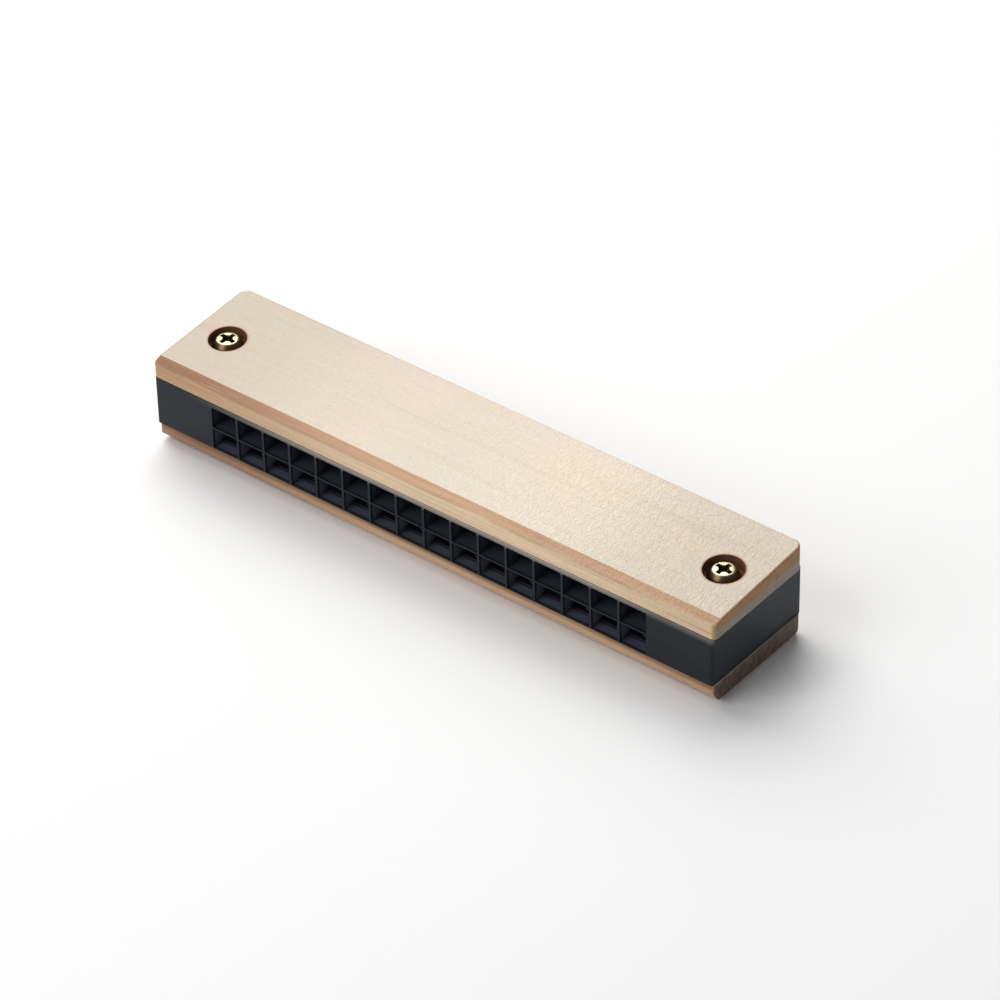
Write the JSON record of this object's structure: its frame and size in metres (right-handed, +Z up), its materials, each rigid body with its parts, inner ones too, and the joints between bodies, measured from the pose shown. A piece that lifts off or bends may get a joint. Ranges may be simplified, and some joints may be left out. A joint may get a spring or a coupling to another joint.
{
  "type": "harmonica",
  "caption": "Straight mouth harmonica: a dark plastic comb with rows of square mouth holes, held between pale wooden covers by sunk cross-head screws.",
  "frame": {"origin": "middle of the footprint on the surface the harmonica stands on", "axes": "+X along the length towards the high notes, -Y towards the player's mouth, +Z up"},
  "size_m": [0.13, 0.0266, 0.0203],
  "materials": {
    "cover_wood": "fine sanded, bare pale wood",
    "comb_plastic": "satin moulded plastic",
    "plate_brass": "brushed sheet",
    "reed_brass": "ground strip",
    "rivet_brass": "peened",
    "nail_steel": "plain",
    "screw_brass": "yellow zinc plated"
  },
  "bodies": {
    "harmonica_body": {"comb": "comb_plastic", "top_cover": "cover_wood", "bottom_cover": "cover_wood", "top_reed_plate": "plate_brass", "top_reed_roots": "reed_brass", "top_reed_rivets": "rivet_brass", "top_plate_nails": "nail_steel", "top_cover_screws": "screw_brass", "bottom_reed_plate": "plate_brass", "bottom_reed_roots": "reed_brass", "bottom_reed_rivets": "rivet_brass", "bottom_plate_nails": "nail_steel", "bottom_cover_screws": "screw_brass"},
    "top_reed_01_tongue": {"top_reed_01": "reed_brass"},
    "top_reed_02_tongue": {"top_reed_02": "reed_brass"},
    "top_reed_03_tongue": {"top_reed_03": "reed_brass"},
    "top_reed_04_tongue": {"top_reed_04": "reed_brass"},
    "top_reed_05_tongue": {"top_reed_05": "reed_brass"},
    "top_reed_06_tongue": {"top_reed_06": "reed_brass"},
    "top_reed_07_tongue": {"top_reed_07": "reed_brass"},
    "top_reed_08_tongue": {"top_reed_08": "reed_brass"},
    "top_reed_09_tongue": {"top_reed_09": "reed_brass"},
    "top_reed_10_tongue": {"top_reed_10": "reed_brass"},
    "top_reed_11_tongue": {"top_reed_11": "reed_brass"},
    "top_reed_12_tongue": {"top_reed_12": "reed_brass"},
    "top_reed_13_tongue": {"top_reed_13": "reed_brass"},
    "top_reed_14_tongue": {"top_reed_14": "reed_brass"},
    "top_reed_15_tongue": {"top_reed_15": "reed_brass"},
    "top_reed_16_tongue": {"top_reed_16": "reed_brass"},
    "bottom_reed_01_tongue": {"bottom_reed_01": "reed_brass"},
    "bottom_reed_02_tongue": {"bottom_reed_02": "reed_brass"},
    "bottom_reed_03_tongue": {"bottom_reed_03": "reed_brass"},
    "bottom_reed_04_tongue": {"bottom_reed_04": "reed_brass"},
    "bottom_reed_05_tongue": {"bottom_reed_05": "reed_brass"},
    "bottom_reed_06_tongue": {"bottom_reed_06": "reed_brass"},
    "bottom_reed_07_tongue": {"bottom_reed_07": "reed_brass"},
    "bottom_reed_08_tongue": {"bottom_reed_08": "reed_brass"},
    "bottom_reed_09_tongue": {"bottom_reed_09": "reed_brass"},
    "bottom_reed_10_tongue": {"bottom_reed_10": "reed_brass"},
    "bottom_reed_11_tongue": {"bottom_reed_11": "reed_brass"},
    "bottom_reed_12_tongue": {"bottom_reed_12": "reed_brass"},
    "bottom_reed_13_tongue": {"bottom_reed_13": "reed_brass"},
    "bottom_reed_14_tongue": {"bottom_reed_14": "reed_brass"},
    "bottom_reed_15_tongue": {"bottom_reed_15": "reed_brass"},
    "bottom_reed_16_tongue": {"bottom_reed_16": "reed_brass"}
  },
  "joints": [
    {"name": "top_reed_01_flex", "type": "hinge", "parent": "harmonica_body", "child": "top_reed_01_tongue", "pos_m": [-0.04773, 0.0052, 0.0141], "axis": [1, 0, 0], "range_deg": [-4, 4], "stiffness_Nm_per_rad": 0.0006483},
    {"name": "top_reed_02_flex", "type": "hinge", "parent": "harmonica_body", "child": "top_reed_02_tongue", "pos_m": [-0.0414, -0.0077, 0.0151], "axis": [1, 0, 0], "range_deg": [-4, 4], "stiffness_Nm_per_rad": 0.000591},
    {"name": "top_reed_03_flex", "type": "hinge", "parent": "harmonica_body", "child": "top_reed_03_tongue", "pos_m": [-0.03508, 0.0052, 0.0141], "axis": [1, 0, 0], "range_deg": [-4, 4], "stiffness_Nm_per_rad": 0.0005376},
    {"name": "top_reed_04_flex", "type": "hinge", "parent": "harmonica_body", "child": "top_reed_04_tongue", "pos_m": [-0.02874, -0.0077, 0.0151], "axis": [1, 0, 0], "range_deg": [-4, 4], "stiffness_Nm_per_rad": 0.0004878},
    {"name": "top_reed_05_flex", "type": "hinge", "parent": "harmonica_body", "child": "top_reed_05_tongue", "pos_m": [-0.02242, 0.0052, 0.0141], "axis": [1, 0, 0], "range_deg": [-4, 4], "stiffness_Nm_per_rad": 0.0004415},
    {"name": "top_reed_06_flex", "type": "hinge", "parent": "harmonica_body", "child": "top_reed_06_tongue", "pos_m": [-0.01608, -0.0077, 0.0151], "axis": [1, 0, 0], "range_deg": [-4, 4], "stiffness_Nm_per_rad": 0.0003986},
    {"name": "top_reed_07_flex", "type": "hinge", "parent": "harmonica_body", "child": "top_reed_07_tongue", "pos_m": [-0.00975, 0.0052, 0.0141], "axis": [1, 0, 0], "range_deg": [-4, 4], "stiffness_Nm_per_rad": 0.0003587},
    {"name": "top_reed_08_flex", "type": "hinge", "parent": "harmonica_body", "child": "top_reed_08_tongue", "pos_m": [-0.00343, -0.0077, 0.0151], "axis": [1, 0, 0], "range_deg": [-4, 4], "stiffness_Nm_per_rad": 0.0003219},
    {"name": "top_reed_09_flex", "type": "hinge", "parent": "harmonica_body", "child": "top_reed_09_tongue", "pos_m": [0.00291, 0.0052, 0.0141], "axis": [1, 0, 0], "range_deg": [-4, 4], "stiffness_Nm_per_rad": 0.0002879},
    {"name": "top_reed_10_flex", "type": "hinge", "parent": "harmonica_body", "child": "top_reed_10_tongue", "pos_m": [0.00924, -0.0077, 0.0151], "axis": [1, 0, 0], "range_deg": [-4, 4], "stiffness_Nm_per_rad": 0.0002567},
    {"name": "top_reed_11_flex", "type": "hinge", "parent": "harmonica_body", "child": "top_reed_11_tongue", "pos_m": [0.01557, 0.0052, 0.0141], "axis": [1, 0, 0], "range_deg": [-4, 4], "stiffness_Nm_per_rad": 0.000228},
    {"name": "top_reed_12_flex", "type": "hinge", "parent": "harmonica_body", "child": "top_reed_12_tongue", "pos_m": [0.0219, -0.0077, 0.0151], "axis": [1, 0, 0], "range_deg": [-4, 4], "stiffness_Nm_per_rad": 0.0002017},
    {"name": "top_reed_13_flex", "type": "hinge", "parent": "harmonica_body", "child": "top_reed_13_tongue", "pos_m": [0.02823, 0.0052, 0.0141], "axis": [1, 0, 0], "range_deg": [-4, 4], "stiffness_Nm_per_rad": 0.0001777},
    {"name": "top_reed_14_flex", "type": "hinge", "parent": "harmonica_body", "child": "top_reed_14_tongue", "pos_m": [0.03456, -0.0077, 0.0151], "axis": [1, 0, 0], "range_deg": [-4, 4], "stiffness_Nm_per_rad": 0.0001559},
    {"name": "top_reed_15_flex", "type": "hinge", "parent": "harmonica_body", "child": "top_reed_15_tongue", "pos_m": [0.04088, 0.0052, 0.0141], "axis": [1, 0, 0], "range_deg": [-4, 4], "stiffness_Nm_per_rad": 0.0001361},
    {"name": "top_reed_16_flex", "type": "hinge", "parent": "harmonica_body", "child": "top_reed_16_tongue", "pos_m": [0.04722, -0.0077, 0.0151], "axis": [1, 0, 0], "range_deg": [-4, 4], "stiffness_Nm_per_rad": 0.0001182},
    {"name": "bottom_reed_01_flex", "type": "hinge", "parent": "harmonica_body", "child": "bottom_reed_01_tongue", "pos_m": [-0.04773, 0.0052, 0.0056], "axis": [1, 0, 0], "range_deg": [-4, 4], "stiffness_Nm_per_rad": 0.0006483},
    {"name": "bottom_reed_02_flex", "type": "hinge", "parent": "harmonica_body", "child": "bottom_reed_02_tongue", "pos_m": [-0.0414, -0.0077, 0.0046], "axis": [1, 0, 0], "range_deg": [-4, 4], "stiffness_Nm_per_rad": 0.000591},
    {"name": "bottom_reed_03_flex", "type": "hinge", "parent": "harmonica_body", "child": "bottom_reed_03_tongue", "pos_m": [-0.03508, 0.0052, 0.0056], "axis": [1, 0, 0], "range_deg": [-4, 4], "stiffness_Nm_per_rad": 0.0005376},
    {"name": "bottom_reed_04_flex", "type": "hinge", "parent": "harmonica_body", "child": "bottom_reed_04_tongue", "pos_m": [-0.02874, -0.0077, 0.0046], "axis": [1, 0, 0], "range_deg": [-4, 4], "stiffness_Nm_per_rad": 0.0004878},
    {"name": "bottom_reed_05_flex", "type": "hinge", "parent": "harmonica_body", "child": "bottom_reed_05_tongue", "pos_m": [-0.02242, 0.0052, 0.0056], "axis": [1, 0, 0], "range_deg": [-4, 4], "stiffness_Nm_per_rad": 0.0004415},
    {"name": "bottom_reed_06_flex", "type": "hinge", "parent": "harmonica_body", "child": "bottom_reed_06_tongue", "pos_m": [-0.01608, -0.0077, 0.0046], "axis": [1, 0, 0], "range_deg": [-4, 4], "stiffness_Nm_per_rad": 0.0003986},
    {"name": "bottom_reed_07_flex", "type": "hinge", "parent": "harmonica_body", "child": "bottom_reed_07_tongue", "pos_m": [-0.00975, 0.0052, 0.0056], "axis": [1, 0, 0], "range_deg": [-4, 4], "stiffness_Nm_per_rad": 0.0003587},
    {"name": "bottom_reed_08_flex", "type": "hinge", "parent": "harmonica_body", "child": "bottom_reed_08_tongue", "pos_m": [-0.00343, -0.0077, 0.0046], "axis": [1, 0, 0], "range_deg": [-4, 4], "stiffness_Nm_per_rad": 0.0003219},
    {"name": "bottom_reed_09_flex", "type": "hinge", "parent": "harmonica_body", "child": "bottom_reed_09_tongue", "pos_m": [0.00291, 0.0052, 0.0056], "axis": [1, 0, 0], "range_deg": [-4, 4], "stiffness_Nm_per_rad": 0.0002879},
    {"name": "bottom_reed_10_flex", "type": "hinge", "parent": "harmonica_body", "child": "bottom_reed_10_tongue", "pos_m": [0.00924, -0.0077, 0.0046], "axis": [1, 0, 0], "range_deg": [-4, 4], "stiffness_Nm_per_rad": 0.0002567},
    {"name": "bottom_reed_11_flex", "type": "hinge", "parent": "harmonica_body", "child": "bottom_reed_11_tongue", "pos_m": [0.01557, 0.0052, 0.0056], "axis": [1, 0, 0], "range_deg": [-4, 4], "stiffness_Nm_per_rad": 0.000228},
    {"name": "bottom_reed_12_flex", "type": "hinge", "parent": "harmonica_body", "child": "bottom_reed_12_tongue", "pos_m": [0.0219, -0.0077, 0.0046], "axis": [1, 0, 0], "range_deg": [-4, 4], "stiffness_Nm_per_rad": 0.0002017},
    {"name": "bottom_reed_13_flex", "type": "hinge", "parent": "harmonica_body", "child": "bottom_reed_13_tongue", "pos_m": [0.02823, 0.0052, 0.0056], "axis": [1, 0, 0], "range_deg": [-4, 4], "stiffness_Nm_per_rad": 0.0001777},
    {"name": "bottom_reed_14_flex", "type": "hinge", "parent": "harmonica_body", "child": "bottom_reed_14_tongue", "pos_m": [0.03456, -0.0077, 0.0046], "axis": [1, 0, 0], "range_deg": [-4, 4], "stiffness_Nm_per_rad": 0.0001559},
    {"name": "bottom_reed_15_flex", "type": "hinge", "parent": "harmonica_body", "child": "bottom_reed_15_tongue", "pos_m": [0.04088, 0.0052, 0.0056], "axis": [1, 0, 0], "range_deg": [-4, 4], "stiffness_Nm_per_rad": 0.0001361},
    {"name": "bottom_reed_16_flex", "type": "hinge", "parent": "harmonica_body", "child": "bottom_reed_16_tongue", "pos_m": [0.04722, -0.0077, 0.0046], "axis": [1, 0, 0], "range_deg": [-4, 4], "stiffness_Nm_per_rad": 0.0001182}
  ]
}
